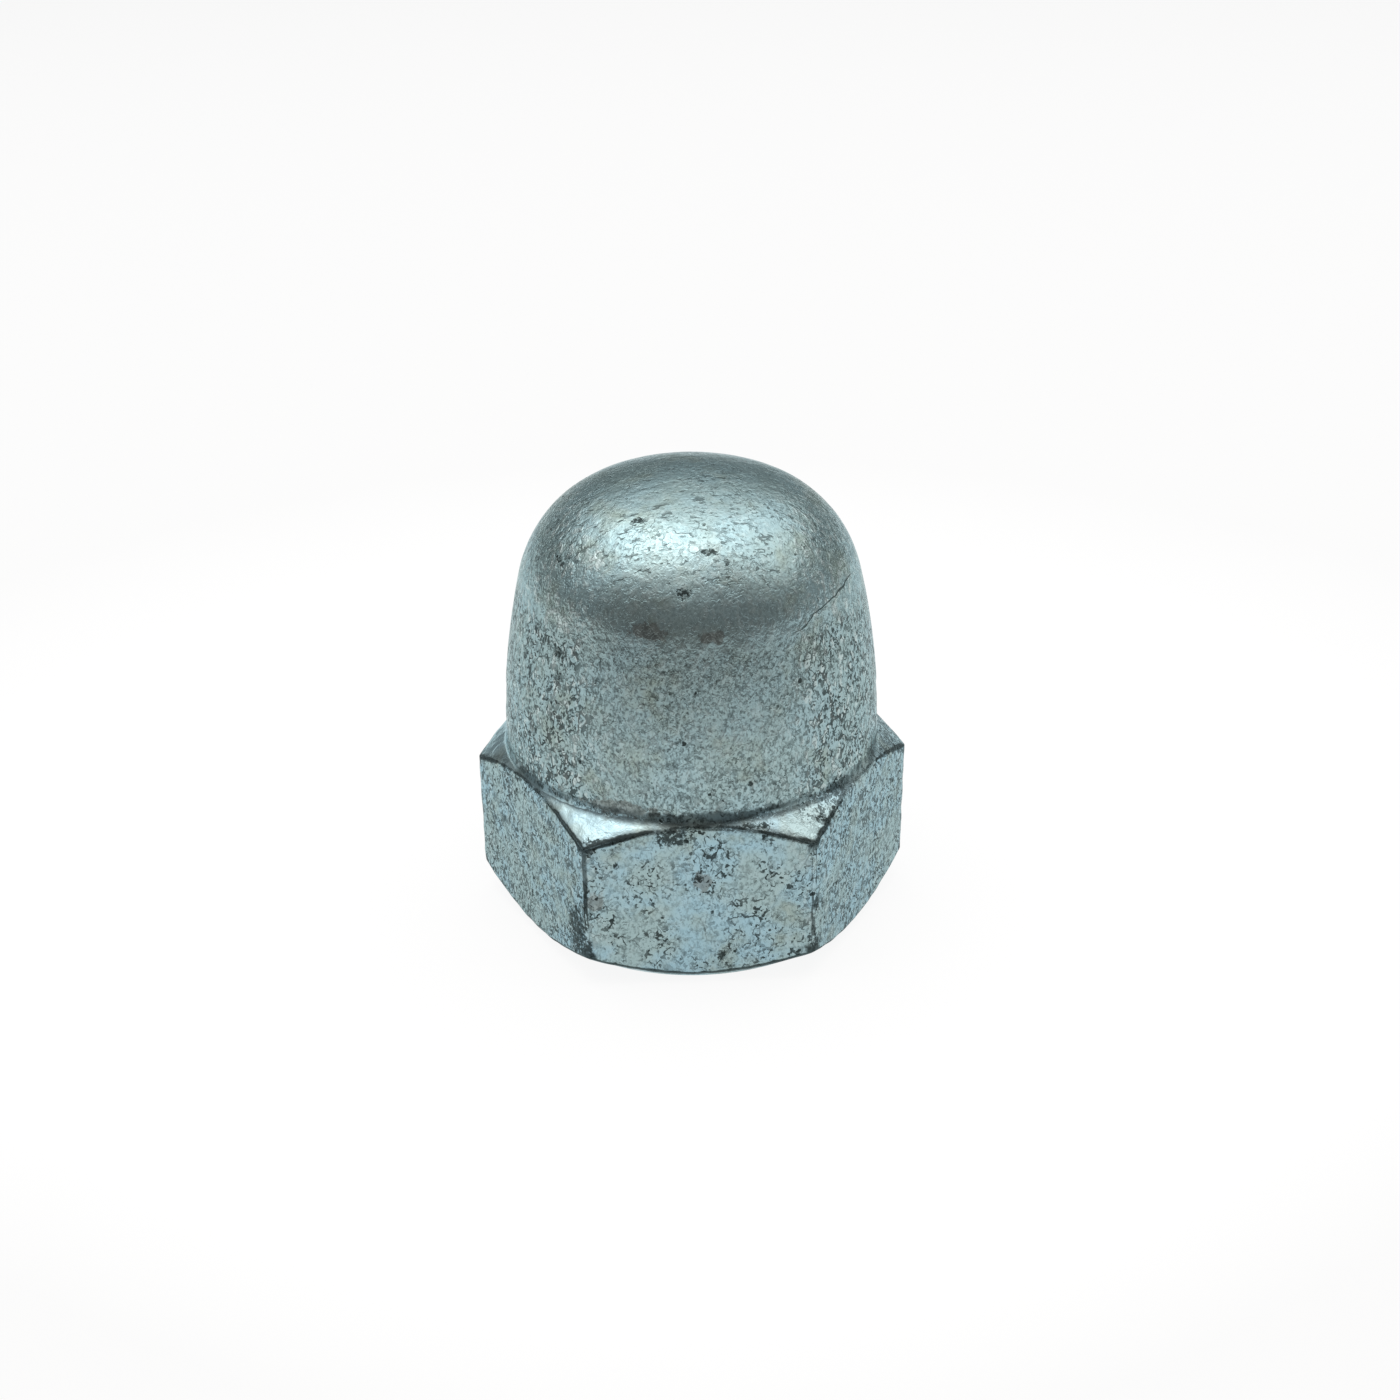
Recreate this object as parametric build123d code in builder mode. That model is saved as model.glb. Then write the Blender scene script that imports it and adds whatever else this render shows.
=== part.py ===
from build123d import *
from math import radians, sqrt, tan
import os

# Cap nut, forged in one piece: a hexagon for the spanner, a tall dome that covers the
# end of the bolt, and a blind threaded hole from below.
# Millimetres. The origin is the centre of the bearing face, +Z points up to the dome's
# crown, and two of the flats are square to Y.

# Hexagon
across_flats = 24.0
corner_round = 0.35            # radius along the six upright corners
bearing_inset = 0.8            # how far the bearing face's edge stands inside the flats
bottom_slope = 36.0            # lower corner cuts, degrees from the level
top_slope = 37.5               # upper corner cuts, degrees from the level

# Dome: a barrel side, a knuckle and a flatter crown, each running smoothly into the next
neck_height = 11.2             # level where the dome's side stands on the upper cuts
neck_inset = 0.19              # how far the dome's side stands inside the flats
neck_fillet_radius = 1.2
side_radius = 47.7
knuckle_radius = 7.7
crown_radius = 18.0
overall_height = 28.75

# Blind hole, drilled from below and then tapped
thread_diameter = 16.0
thread_pitch = 2.0
crown_wall = 3.1               # metal left between the drill's point and the crown
drill_point_angle = 118.0
mouth_clearance = 0.5          # how far the countersunk mouth stands outside the thread
mouth_angle = 90.0

# The bore has the thread's minor diameter. The inside thread is 5/8 as deep as the
# equal-sided triangle that stands on its pitch.
thread_depth = 5 / 8 * thread_pitch * sqrt(3) / 2
bore_radius = thread_diameter / 2 - thread_depth
drill_point_height = bore_radius / tan(radians(drill_point_angle / 2))
bore_depth = overall_height - crown_wall - drill_point_height
mouth_radius = thread_diameter / 2 + mouth_clearance
mouth_depth = (mouth_radius - bore_radius) / tan(radians(mouth_angle / 2))

# The turned outline is wider than the hexagon's corners, so that its rim never shows
rim_clearance = 1.0
flat_radius = across_flats / 2
corner_radius = across_flats / sqrt(3)
rim_radius = corner_radius + rim_clearance
bearing_radius = flat_radius - bearing_inset
neck_radius = flat_radius - neck_inset
rim_bottom = (rim_radius - bearing_radius) * tan(radians(bottom_slope))
rim_top = neck_height - (rim_radius - neck_radius) * tan(radians(top_slope))

with BuildPart() as cap_nut:
    # Half section of the dome: what the side's circle and the crown's circle share
    with BuildSketch(Plane.XZ) as outline:
        with Locations((neck_radius - side_radius, neck_height)):
            Circle(side_radius)
        with Locations((0, overall_height - crown_radius)):
            Circle(crown_radius, mode=Mode.INTERSECT)
        with Locations((0, neck_height)):
            Rectangle(neck_radius, overall_height, align=(Align.MIN, Align.MIN), mode=Mode.INTERSECT)
        shoulder = outline.vertices().sort_by(Axis.Y)[-2]
        fillet(shoulder, radius=knuckle_radius)
        # Half section of the body below it, with the slopes that cut the corners
        with BuildLine():
            Polyline(
                (0, 0),
                (bearing_radius, 0),
                (rim_radius, rim_bottom),
                (rim_radius, rim_top),
                (neck_radius, neck_height),
                (0, neck_height),
                close=True,
            )
        make_face()
        neck = outline.vertices().sort_by_distance((neck_radius, neck_height))[0]
        fillet(neck, radius=neck_fillet_radius)
    revolve(axis=Axis.Z)

    # The hexagon cuts its six flats into the turned form
    with BuildSketch(Plane.XY):
        RegularPolygon(corner_radius, 6)
        fillet(vertices(), radius=corner_round)
    extrude(amount=overall_height, mode=Mode.INTERSECT)

    # The hole: countersunk mouth, bore and the drill's pointed end
    with BuildSketch(Plane.XZ):
        with BuildLine():
            Polyline(
                (0, 0),
                (mouth_radius, 0),
                (bore_radius, mouth_depth),
                (bore_radius, bore_depth),
                (0, bore_depth + drill_point_height),
                close=True,
            )
        make_face()
    revolve(axis=Axis.Z, mode=Mode.SUBTRACT)

cap_nut.part.label = "cap_nut"
os.makedirs("parts", exist_ok=True)
export_step(cap_nut.part, "parts/cap_nut.step")
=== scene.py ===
"""Cap nut of zinc plated steel: the forged body, its tapped hole, and a plain studio round it."""

import math
from types import SimpleNamespace

import bmesh
import bpy
from bpy.props import FloatProperty, FloatVectorProperty, PointerProperty
from mathutils import Matrix, Vector, noise


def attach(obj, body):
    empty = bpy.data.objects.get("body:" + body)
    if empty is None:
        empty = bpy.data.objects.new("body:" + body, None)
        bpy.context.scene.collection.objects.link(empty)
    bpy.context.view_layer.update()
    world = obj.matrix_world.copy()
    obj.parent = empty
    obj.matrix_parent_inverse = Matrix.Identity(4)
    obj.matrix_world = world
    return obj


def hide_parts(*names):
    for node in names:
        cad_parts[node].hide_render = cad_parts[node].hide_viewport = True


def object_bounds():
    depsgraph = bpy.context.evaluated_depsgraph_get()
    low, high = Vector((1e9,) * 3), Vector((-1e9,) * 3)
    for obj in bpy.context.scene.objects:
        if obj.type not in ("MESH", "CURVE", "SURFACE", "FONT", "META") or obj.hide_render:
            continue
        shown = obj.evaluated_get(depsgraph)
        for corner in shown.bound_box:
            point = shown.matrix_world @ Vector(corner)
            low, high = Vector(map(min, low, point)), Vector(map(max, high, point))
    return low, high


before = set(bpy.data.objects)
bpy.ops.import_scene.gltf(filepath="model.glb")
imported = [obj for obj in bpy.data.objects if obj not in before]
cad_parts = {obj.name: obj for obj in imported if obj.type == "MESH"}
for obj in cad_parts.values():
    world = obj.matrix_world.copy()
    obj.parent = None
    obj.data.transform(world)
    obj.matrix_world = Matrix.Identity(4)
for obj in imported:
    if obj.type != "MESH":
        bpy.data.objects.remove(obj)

bl_info = {
    "name": "Cap Nut",
    "version": (1, 0, 0),
    "blender": (4, 5, 0),
    "location": "View3D > Sidebar > Cap Nut",
    "description": "Makes a forged, zinc plated cap nut and the studio that it stands in",
    "category": "Add Mesh",
}

MM = 0.001
NUT_NODE = "cap_nut"
SIDES = 6
CAD_LOW, CAD_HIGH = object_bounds()
TURN_STEPS = 480  # faces round the body
THREAD_STEPS = 120  # faces round the thread
NEAR = 0.01 * MM  # closer than this is on the axis, or on the bearing face's plane
TOUCHING = 0.002 * MM  # points closer than this are one point


def linear(hex_colour):
    """An sRGB hex colour as linear red, green and blue."""
    shares = [int(hex_colour[i:i + 2], 16) / 255 for i in (1, 3, 5)]
    return [s / 12.92 if s <= 0.04045 else ((s + 0.055) / 1.055) ** 2.4 for s in shares]


def length(name, description, millimetres):
    """A length property, given in millimetres and kept in metres."""
    return FloatProperty(
        name=name,
        description=description,
        default=millimetres * MM,
        precision=5,
        subtype="DISTANCE",
        unit="LENGTH",
    )


def angle(name, description, degrees):
    """An angle property, given in degrees and kept in radians."""
    return FloatProperty(
        name=name,
        description=description,
        default=math.radians(degrees),
        subtype="ANGLE",
        unit="ROTATION",
    )


def colour(name, description, hex_colour):
    """A colour property, given as sRGB hex and kept linear."""
    return FloatVectorProperty(
        name=name,
        description=description,
        default=linear(hex_colour),
        subtype="COLOR",
        size=3,
        min=0,
        max=1,
    )


class CapNutSizes(bpy.types.PropertyGroup):
    """The nut's own sizes."""

    across_flats: length("Across flats", "Spanner size of the hexagon", 24.0)
    corner_round: length("Corner round", "Radius along the six upright corners", 0.35)
    bearing_inset: length("Bearing inset", "From the flats in to the bearing face's edge", 0.8)
    bottom_slope: angle("Bottom slope", "Lower corner cuts, from the level", 36.0)
    top_slope: angle("Top slope", "Upper corner cuts, from the level", 37.5)
    neck_height: length("Neck height", "Where the dome's side stands on the upper cuts", 11.2)
    neck_inset: length("Neck inset", "How far the dome's side stands inside the flats", 0.19)
    neck_fillet: length("Neck fillet", "Hollow radius at the foot of the dome", 0.8)
    side_radius: length("Side radius", "Barrel of the dome's side", 47.7)
    knuckle_radius: length("Knuckle radius", "Round between the side and the crown", 7.7)
    crown_radius: length("Crown radius", "Flatter top of the dome", 18.0)
    edge_round: length("Edge round", "How wide the hammered edges of the hexagon are rounded", 0.45)
    foot_round: length("Foot round", "Radius round the edge of the bearing face", 0.25)


class TappedHoleSizes(bpy.types.PropertyGroup):
    """The blind tapped hole's sizes."""

    thread: length("Thread", "Major diameter of the thread", 16.0)
    pitch: length("Pitch", "From one thread to the next", 2.0)
    crown_wall: length("Crown wall", "Metal left between the drill's point and the crown", 3.1)
    drill_point: angle("Drill point", "Whole angle of the drill's point", 118.0)
    mouth_clearance: length("Mouth clearance", "How far the mouth stands outside the thread", 0.5)


class ZincFinish(bpy.types.PropertyGroup):
    """The blue passivated zinc and what forging and handling left on it."""

    zinc: colour("Zinc", "Passivated zinc where it is clean", "#A2BABB")
    blue: colour("Blue film", "Thicker passivation film", "#A0C1CC")
    olive: colour("Olive film", "Yellowed passivation film", "#97A395")
    # Also paints a highlight over the upper corner cuts and glints at the left of the crown
    bare_and_highlight: colour("Rubbed zinc", "Where handling has rubbed the film off", "#C3D3D2")
    # Also paints shade along the neck's hollow on the left
    brown_stain_and_shade: colour("Stain", "Where oil has dried on the film", "#6A665E")
    # Also paints shade along the edges of the flats and in the neck's hollow
    grime_and_shade: colour("Grime", "Oil and dirt in the hollows", "#1F2625")
    crack_spacing: length("Crack spacing", "From one fine crack to the next", 0.62)
    pit_spacing: length("Pit spacing", "From one small pit to the next", 0.75)


class StudioSettings(bpy.types.PropertyGroup):
    """The light tent, the floor and the camera."""

    tent_radius: length("Tent radius", "Light tent round the nut", 600.0)
    floor_half: length("Floor half width", "From the nut to the floor's edge", 1500.0)
    floor: colour("Floor", "Pale floor", "#E6E6E6")
    lens: FloatProperty(name="Lens", description="Focal length in millimetres", default=50.145)
    sensor: FloatProperty(name="Sensor", description="Sensor width in millimetres", default=36.0)
    camera_place: FloatVectorProperty(
        name="Camera place",
        description="Where the camera stands",
        default=(-0.003216, -0.109837, 0.069808),
        size=3,
        subtype="TRANSLATION",
    )
    camera_turn: angle("Camera turn", "How far the camera looks to the right of straight ahead", 1.9526)
    camera_dip: angle("Camera dip", "How far the camera looks down", 27.2435)
    camera_roll: angle("Camera roll", "How far the camera leans to its right", -0.6275)


# How far apart the half section's points stand on each stretch
CROWN_SPACING = 0.30 * MM
KNUCKLE_SPACING = 0.25 * MM
SIDE_SPACING = 0.26 * MM
NECK_SPACING = 0.14 * MM
UPPER_SLOPE_SPACING = 0.11 * MM
RIM_SPACING = 0.42 * MM
LOWER_SLOPE_SPACING = 0.14 * MM
FOOT_SPACING = 0.07 * MM


def arc(centre, radius, start, end, spacing):
    """Points along an arc of the half section, its last point left to the next stretch."""
    steps = max(1, math.ceil(abs(end - start) * radius / spacing))
    for i in range(steps):
        turn = start + (end - start) * i / steps
        yield centre + radius * Vector((math.cos(turn), math.sin(turn)))


def line(start, end, spacing):
    """Points along a straight stretch of the half section, its last point left out."""
    steps = max(1, math.ceil((end - start).length / spacing))
    for i in range(steps):
        yield start.lerp(end, i / steps)


def direction(vector):
    """The angle of a vector in the half section."""
    return math.atan2(vector.y, vector.x)


def upper_meeting(centre_a, radius_a, centre_b, radius_b):
    """Where two circles of the half section meet, on their upper side."""
    gap = centre_b - centre_a
    along = (radius_a ** 2 - radius_b ** 2 + gap.length_squared) / (2 * gap.length)
    across = math.sqrt(radius_a ** 2 - along ** 2)
    way = gap.normalized()
    return centre_a + along * way + across * Vector((-way.y, way.x))


def half_section(sizes):
    """The turned outline, as (radius, height), from the crown down to the bearing face."""
    height = CAD_HIGH.z - CAD_LOW.z
    flat = sizes.across_flats / 2
    corner = sizes.across_flats / math.sqrt(3)
    neck = Vector((flat - sizes.neck_inset, sizes.neck_height))
    side_centre = Vector((neck.x - sizes.side_radius, neck.y))
    crown_centre = Vector((0, height - sizes.crown_radius))
    knuckle_centre = upper_meeting(
        side_centre,
        sizes.side_radius - sizes.knuckle_radius,
        crown_centre,
        sizes.crown_radius - sizes.knuckle_radius,
    )
    # The neck's hollow touches the dome's side and the upper slope
    slope_way = Vector((math.cos(sizes.top_slope), -math.sin(sizes.top_slope)))
    slope_up = Vector((-slope_way.y, slope_way.x))
    from_side = neck + sizes.neck_fillet * slope_up - side_centre
    reach = sizes.side_radius + sizes.neck_fillet
    along = from_side.dot(slope_way)
    slide = math.sqrt(along ** 2 - from_side.length_squared + reach ** 2) - along
    neck_centre = side_centre + from_side + slide * slope_way
    slope_start = neck_centre - sizes.neck_fillet * slope_up
    slope_end = neck + (corner - neck.x) / slope_way.x * slope_way
    foot_x = flat - sizes.bearing_inset
    foot_way = Vector((-math.cos(sizes.bottom_slope), -math.sin(sizes.bottom_slope)))
    foot = Vector((foot_x, 0))
    rim_bottom = foot + (corner - foot_x) / foot_way.x * foot_way
    # The foot's round touches the lower slope and the bearing face
    tangent = sizes.foot_round * math.tan(sizes.bottom_slope / 2)
    turn = math.pi / 2 - sizes.bottom_slope
    foot_centre = Vector((foot_x - tangent, sizes.foot_round))
    slope_foot = foot - tangent * foot_way

    crown_turn = direction(knuckle_centre - crown_centre)
    knuckle_turn = direction(knuckle_centre - side_centre)
    neck_turn = direction(neck_centre - side_centre)
    hollow_start = neck_turn + math.pi
    hollow_end = direction(-slope_up) + math.tau
    points = []
    points += arc(crown_centre, sizes.crown_radius, math.pi / 2, crown_turn, CROWN_SPACING)
    points += arc(knuckle_centre, sizes.knuckle_radius, crown_turn, knuckle_turn, KNUCKLE_SPACING)
    points += arc(side_centre, sizes.side_radius, knuckle_turn, neck_turn, SIDE_SPACING)
    points += arc(neck_centre, sizes.neck_fillet, hollow_start, hollow_end, NECK_SPACING)
    points += line(slope_start, slope_end, UPPER_SLOPE_SPACING)
    points += line(slope_end, rim_bottom, RIM_SPACING)
    points += line(rim_bottom, slope_foot, LOWER_SLOPE_SPACING)
    points += arc(foot_centre, sizes.foot_round, -turn, -math.pi / 2, FOOT_SPACING)
    points.append(Vector((foot_centre.x, 0)))
    return points


def section_line(made, points):
    """The half section as a line of edges, ready to spin."""
    corners = [made.verts.new((p.x, 0, p.y)) for p in points]
    return corners + [made.edges.new(pair) for pair in zip(corners, corners[1:])]


def turned_body(points, steps):
    """A bmesh of the half section turned round Z: one sixth, and five copies of it."""
    made = bmesh.new()
    bmesh.ops.spin(
        made,
        geom=section_line(made, points),
        cent=(0, 0, 0),
        axis=(0, 0, 1),
        angle=math.tau / SIDES,
        steps=steps // SIDES,
        use_duplicate=False,
    )
    sixth = made.verts[:] + made.edges[:] + made.faces[:]
    for side in range(1, SIDES):
        copied = bmesh.ops.duplicate(made, geom=sixth)["geom"]
        bmesh.ops.rotate(
            made,
            verts=[v for v in copied if isinstance(v, bmesh.types.BMVert)],
            cent=(0, 0, 0),
            matrix=Matrix.Rotation(side * math.tau / SIDES, 3, "Z"),
        )
    bmesh.ops.remove_doubles(made, verts=made.verts, dist=TOUCHING)
    return made


def screwed(points, steps, pitch):
    """A bmesh of the half section screwed once round Z, a pitch up."""
    made = bmesh.new()
    bmesh.ops.spin(
        made,
        geom=section_line(made, points),
        cent=(0, 0, 0),
        axis=(0, 0, 1),
        dvec=(0, 0, pitch / steps),
        angle=math.tau,
        steps=steps,
        use_duplicate=False,
    )
    bmesh.ops.remove_doubles(made, verts=made.verts, dist=TOUCHING)
    return made


def hexagon_reach(turn, flat, corner_round):
    """From the axis to the hexagon's side at an angle. Two of the corners lie on X."""
    sixth = math.pi / 3
    from_corner = abs((turn + sixth / 2) % sixth - sixth / 2)
    round_centre = (flat - corner_round) / math.cos(sixth / 2)
    round_end = sixth / 2 - math.atan((flat - corner_round) * math.tan(sixth / 2) / flat)
    if from_corner > round_end:
        return flat / math.cos(sixth / 2 - from_corner)
    inside = corner_round ** 2 - (round_centre * math.sin(from_corner)) ** 2
    return round_centre * math.cos(from_corner) + math.sqrt(inside)


def smallest(a, b, blend):
    """The smaller of two lengths, with a round where they are nearly equal."""
    share = max(blend - abs(a - b), 0.0) / blend
    return min(a, b) - share * share * blend / 4


MARK_REACH = 1.0 * MM  # how far from an edge the edge marks reach
CORNER_CROWDING = 0.62  # 0 spreads the upright rows evenly, 1 heaps them on the corners
PRESSED_WIDTH = 0.3 * MM  # over how wide a band the mark of the flats fades
WAVES_REACH = 12.0  # millimetres from the axis at which the waves' noise is read
EDGE_WAVES = 0.9  # waves of the edges' width per millimetre
EDGE_VARIATION = 0.4  # how much the edges' width varies
SLOPE_START = 0.97  # share of the flats' distance at which the corner cuts start
SLOPE_WAVES = 1.3  # waves of the corner cuts per millimetre
SLOPE_DEPTH = 0.05 * MM
SLOPE_SHIFT = Vector((4.0, 1.0, 8.0))


def crowd_to_corners(turn):
    """Moves an angle towards the nearest of the six corners, so that the rounds get more rows."""
    return turn - CORNER_CROWDING * math.sin(6 * turn) / 6


def forge_hexagon(made, sizes):
    """Presses the six flats into the turned body. It marks how near each point is to an edge."""
    flat = sizes.across_flats / 2
    edge_layer = made.verts.layers.float.new("edge")
    corner_layer = made.verts.layers.float.new("corner")
    pressed_layer = made.verts.layers.float.new("pressed")
    for vert in made.verts:
        turned_radius = vert.co.xy.length
        if turned_radius < NEAR:
            continue
        turn = crowd_to_corners(math.atan2(vert.co.y, vert.co.x))
        reach = hexagon_reach(turn, flat, sizes.corner_round)
        place = Vector((math.cos(turn) * WAVES_REACH, math.sin(turn) * WAVES_REACH, vert.co.z / MM))
        wave = noise.noise(place * EDGE_WAVES)
        if turned_radius > SLOPE_START * flat:
            turned_radius -= SLOPE_DEPTH * (1 + noise.noise(place * SLOPE_WAVES + SLOPE_SHIFT))
        radius = smallest(turned_radius, reach, sizes.edge_round * (1 + EDGE_VARIATION * wave))
        vert.co.x = radius * math.cos(turn)
        vert.co.y = radius * math.sin(turn)
        vert[edge_layer] = max(0.0, 1 - abs(turned_radius - reach) / MARK_REACH)
        from_corner = abs((turn + math.pi / SIDES) % (math.tau / SIDES) - math.pi / SIDES) * radius
        if turned_radius > reach:
            vert[corner_layer] = max(0.0, 1 - from_corner / MARK_REACH)
        vert[pressed_layer] = min(1.0, max(0.0, 0.5 + (turned_radius - reach) / PRESSED_WIDTH))


# Dents: how many per millimetre, how deep in millimetres, and where their noise is read
DENTS = (
    (0.33, 0.020, Vector((3.1, 7.7, 1.3))),
    (0.95, 0.009, Vector((9.4, 2.2, 5.8))),
)
DENTED_FROM = 0.6  # millimetres above the bearing face at which the dents are full


def dent(made):
    """Sinks the skin unevenly, as the hammer and the tumbling drum left it."""
    made.normal_update()
    moves = []
    for vert in made.verts:
        place = vert.co / MM
        depth = sum(deep * (1 + noise.noise(place * rate + shift)) for rate, deep, shift in DENTS)
        level = min(1.0, max(0.0, place.z / DENTED_FROM))
        moves.append(-depth * level * MM * vert.normal)
    for vert, move in zip(made.verts, moves):
        vert.co += move


ON_PLANE = 0.0001 * MM  # points closer to a cutting plane than this lie on it
FADE_PITCHES = 1.5  # over how many pitches the thread runs out
PLAIN_PITCHES = 0.2  # and how much of the bore's end has none


def minor_radius(hole):
    """From the axis to the thread's crests. An inside thread is 5/8 as deep as the
    equal-sided triangle on its pitch."""
    return hole.thread / 2 - 5 / 8 * hole.pitch * math.sqrt(3) / 2


def thread_profile(hole, length_up):
    """The inside thread's section along the hole: root, flank, crest, flank, for each pitch."""
    major = hole.thread / 2
    minor = minor_radius(hole)
    root = hole.pitch / 8
    crest = hole.pitch / 4
    flank = (hole.pitch - root - crest) / 2
    points = []
    turns = math.ceil(length_up / hole.pitch) + 2
    for i in range(turns):
        foot = (i - 1) * hole.pitch
        points += [
            Vector((major, foot)),
            Vector((major, foot + root)),
            Vector(((major + minor) / 2, foot + root + flank / 2)),
            Vector((minor, foot + root + flank)),
            Vector((minor, foot + root + flank + crest)),
            Vector(((major + minor) / 2, foot + root + flank + crest + flank / 2)),
        ]
    return points


def tapped_hole(hole, height, steps):
    """A bmesh of the hole: countersunk mouth, thread, plain end and the drill's point."""
    minor = minor_radius(hole)
    mouth = hole.thread / 2 + hole.mouth_clearance
    point_height = minor / math.tan(hole.drill_point / 2)
    bore = height - hole.crown_wall - point_height
    fade_length = FADE_PITCHES * hole.pitch
    fade_top = bore - PLAIN_PITCHES * hole.pitch
    made = screwed(thread_profile(hole, bore), steps, hole.pitch)
    for level, keep_above in ((0.0, True), (bore, False)):
        bmesh.ops.bisect_plane(
            made,
            geom=made.verts[:] + made.edges[:] + made.faces[:],
            dist=ON_PLANE,
            plane_co=(0, 0, level),
            plane_no=(0, 0, 1),
            clear_inner=keep_above,
            clear_outer=not keep_above,
        )
    for vert in made.verts:
        radius = vert.co.xy.length
        fade = min(1.0, max(0.0, (fade_top - vert.co.z) / fade_length))
        wanted = max(minor + (radius - minor) * fade, mouth - vert.co.z)
        vert.co.x *= wanted / radius
        vert.co.y *= wanted / radius
    # The drill's point closes the end
    rim = [e for e in made.edges if e.is_boundary and all(v.co.z > bore / 2 for v in e.verts)]
    grown = bmesh.ops.extrude_edge_only(made, edges=rim)["geom"]
    tip = [v for v in grown if isinstance(v, bmesh.types.BMVert)]
    for vert in tip:
        vert.co = Vector((0, 0, bore + point_height))
    bmesh.ops.remove_doubles(made, verts=tip, dist=TOUCHING)
    return made


def boundary_ring(made, wide):
    """The open ring of edges at the bottom, the wider or the narrower one."""
    rims = [e for e in made.edges if e.is_boundary and all(v.co.z < NEAR for v in e.verts)]
    middle = sum(e.verts[0].co.xy.length for e in rims) / len(rims)
    return [e for e in rims if (e.verts[0].co.xy.length > middle) == wide]


SHARP = math.radians(38)


def crisp(made):
    """Smooth shading everywhere, with an edge where two faces meet at more than SHARP."""
    for face in made.faces:
        face.smooth = True
    for edge in made.edges:
        edge.smooth = not (edge.is_manifold and edge.calc_face_angle(0) > SHARP)


def as_piece(made, name, material):
    """Turns a bmesh into a finished object with one material."""
    mesh = bpy.data.meshes.new(name)
    made.to_mesh(mesh)
    made.free()
    mesh.materials.append(material)
    piece = bpy.data.objects.new(name, mesh)
    bpy.context.scene.collection.objects.link(piece)
    return piece


def add_node(tree, kind, inputs=None, **settings):
    """Adds a node with its settings and links. An input's value is a number, a colour, a socket
    to link, or a node, whose first output is linked."""
    made = tree.nodes.new(kind)
    for name, value in settings.items():
        setattr(made, name, value)
    for name, value in (inputs or {}).items():
        if isinstance(value, bpy.types.Node):
            value = value.outputs[0]
        if isinstance(value, bpy.types.NodeSocket):
            tree.links.new(value, made.inputs[name])
        else:
            made.inputs[name].default_value = value
    return made


def all_of(tree, *shares):
    """Where all of the shares hold: their product."""
    whole = shares[0]
    for share in shares[1:]:
        whole = add_node(tree, "ShaderNodeMath", {0: whole, 1: share}, operation="MULTIPLY")
    return whole


def any_of(tree, *shares):
    """Where any of the shares holds: the largest of them."""
    whole = shares[0]
    for share in shares[1:]:
        whole = add_node(tree, "ShaderNodeMath", {0: whole, 1: share}, operation="MAXIMUM")
    return whole


def faded(tree, share, measure, low, high, start=0.0, end=1.0):
    """A share times an amount that eases from start to end as a measure goes from low to high."""
    amount = add_node(
        tree,
        "ShaderNodeMapRange",
        {"Value": measure, "From Min": low, "From Max": high, "To Min": start, "To Max": end},
        interpolation_type="SMOOTHSTEP",
    )
    return all_of(tree, share, amount)


def mottle(tree, place, spacing, detail=2.0, rough=0.5, stretch=(1, 1, 1)):
    """A noise with blotches about the given spacing apart, in millimetres. A stretch below 1
    along an axis draws them out along it."""
    stretched = add_node(tree, "ShaderNodeVectorMath", {0: place, 1: stretch}, operation="MULTIPLY")
    return add_node(
        tree,
        "ShaderNodeTexNoise",
        {"Vector": stretched, "Scale": 1 / spacing, "Detail": detail, "Roughness": rough},
    )


LINE_CORE = 0.55  # share of a line's width that is full


def level_lines(tree, place, spacing, width, stretch=(1, 1, 1)):
    """Thin curved lines where a noise crosses its middle level."""
    pattern = mottle(tree, place, spacing, detail=1.0, stretch=stretch)
    level = add_node(tree, "ShaderNodeMath", {0: pattern, 1: 0.5}, operation="SUBTRACT")
    off_level = add_node(tree, "ShaderNodeMath", {0: level}, operation="ABSOLUTE")
    return faded(tree, 1.0, off_level, LINE_CORE * width, width, 1.0, 0.0)


BLOT_CORE = 0.7  # share of a spot's half width that is full


def blots(tree, place, broken, spots, raggedness):
    """1 inside any of the spots and 0 outside, with a rim that a broken pattern makes ragged."""
    shares = []
    for centre, half_widths in spots:
        off = add_node(tree, "ShaderNodeVectorMath", {0: place, 1: centre}, operation="SUBTRACT")
        off = add_node(tree, "ShaderNodeVectorMath", {0: off, 1: half_widths}, operation="DIVIDE")
        reach = add_node(tree, "ShaderNodeVectorMath", {0: off}, operation="LENGTH").outputs["Value"]
        rim = add_node(tree, "ShaderNodeMath", {0: broken, 1: raggedness, 2: reach}, operation="MULTIPLY_ADD")
        inner = BLOT_CORE + raggedness / 2
        outer = 1.0 + raggedness / 2
        shares.append(faded(tree, 1.0, rim, inner, outer, 1.0, 0.0))
    return any_of(tree, *shares)


# Larger marks, given one by one: centre and half widths in millimetres
KNOCKS = (
    ((-3.1, -5.2, 27.6), (0.42, 0.24, 0.30)),
    ((0.9, -7.7, 26.6), (0.62, 0.26, 0.28)),
    ((1.9, -8.1, 26.2), (0.26, 0.22, 0.22)),
    ((-0.6, -9.4, 24.8), (0.55, 0.42, 0.34)),
    ((-7.8, -4.8, 25.2), (0.40, 0.65, 0.22)),
    ((-8.0, -7.6, 18.9), (0.25, 0.45, 0.55)),
    ((-8.0, -7.5, 20.4), (0.22, 0.45, 0.40)),
    ((-4.9, -12.0, 8.5), (0.24, 0.50, 0.22)),
    ((0.0, -12.0, 7.5), (0.24, 0.50, 0.36)),
    ((1.3, -12.0, 1.9), (0.32, 0.50, 0.40)),
    ((7.4, -10.4, 10.5), (0.50, 0.40, 0.22)),
)
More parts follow.
